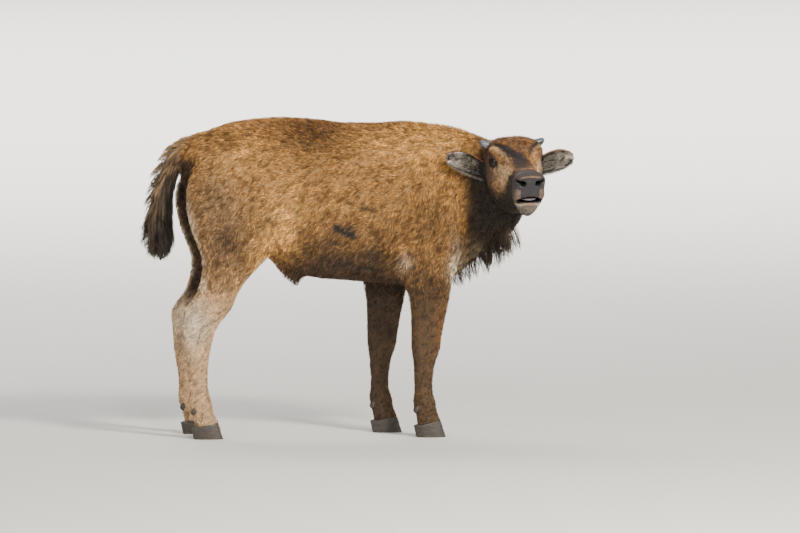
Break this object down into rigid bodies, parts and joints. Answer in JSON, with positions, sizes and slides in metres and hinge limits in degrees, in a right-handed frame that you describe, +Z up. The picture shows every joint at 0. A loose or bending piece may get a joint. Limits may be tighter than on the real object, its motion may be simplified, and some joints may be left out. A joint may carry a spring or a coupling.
{
  "type": "american bison calf",
  "caption": "Life-size still model of a standing american bison calf, head turned to its right with the muzzle raised, tail held away from the rump.",
  "frame": {"origin": "middle of the model's box at the level of its soles", "axes": "+X the way the trunk faces, +Y the animal's left, +Z up"},
  "size_m": [1.3772, 0.6316, 1.0378],
  "materials": {
    "coat_body": "woolly calf coat, rusty ochre with darker back and belly",
    "coat_head": "short face fur, ochre and charcoal, grey inside the ears",
    "coat_leg": "short leg fur, paler tan down the hind legs",
    "tail_hair": "long bushy hair, orange brown above and near black below",
    "hoof_horn": "dull dark hoof horn",
    "horn_bud": "smooth blue-grey horn",
    "eye_wet": "wet dark brown eye",
    "tongue_flesh": "wet grey-pink tongue"
  },
  "bodies": {
    "root": {"hindleg_right": "coat_leg", "claw_hindleg_right_inner": "hoof_horn", "dewclaw_hindleg_right_inner": "hoof_horn", "claw_hindleg_right_outer": "hoof_horn", "dewclaw_hindleg_right_outer": "hoof_horn", "hindleg_left": "coat_leg", "claw_hindleg_left_inner": "hoof_horn", "dewclaw_hindleg_left_inner": "hoof_horn", "claw_hindleg_left_outer": "hoof_horn", "dewclaw_hindleg_left_outer": "hoof_horn", "foreleg_right": "coat_leg", "claw_foreleg_right_inner": "hoof_horn", "dewclaw_foreleg_right_inner": "hoof_horn", "claw_foreleg_right_outer": "hoof_horn", "dewclaw_foreleg_right_outer": "hoof_horn", "foreleg_left": "coat_leg", "claw_foreleg_left_inner": "hoof_horn", "dewclaw_foreleg_left_inner": "hoof_horn", "claw_foreleg_left_outer": "hoof_horn", "dewclaw_foreleg_left_outer": "hoof_horn", "torso": "coat_body", "neck": "coat_body", "eye_right": "eye_wet", "eye_left": "eye_wet", "head": "coat_head", "ear_right": "coat_head", "horn_right": "horn_bud", "ear_left": "coat_head", "horn_left": "horn_bud", "tongue": "tongue_flesh", "tail_dock": "tail_hair", "tail_switch": "tail_hair"}
  },
  "joints": []
}
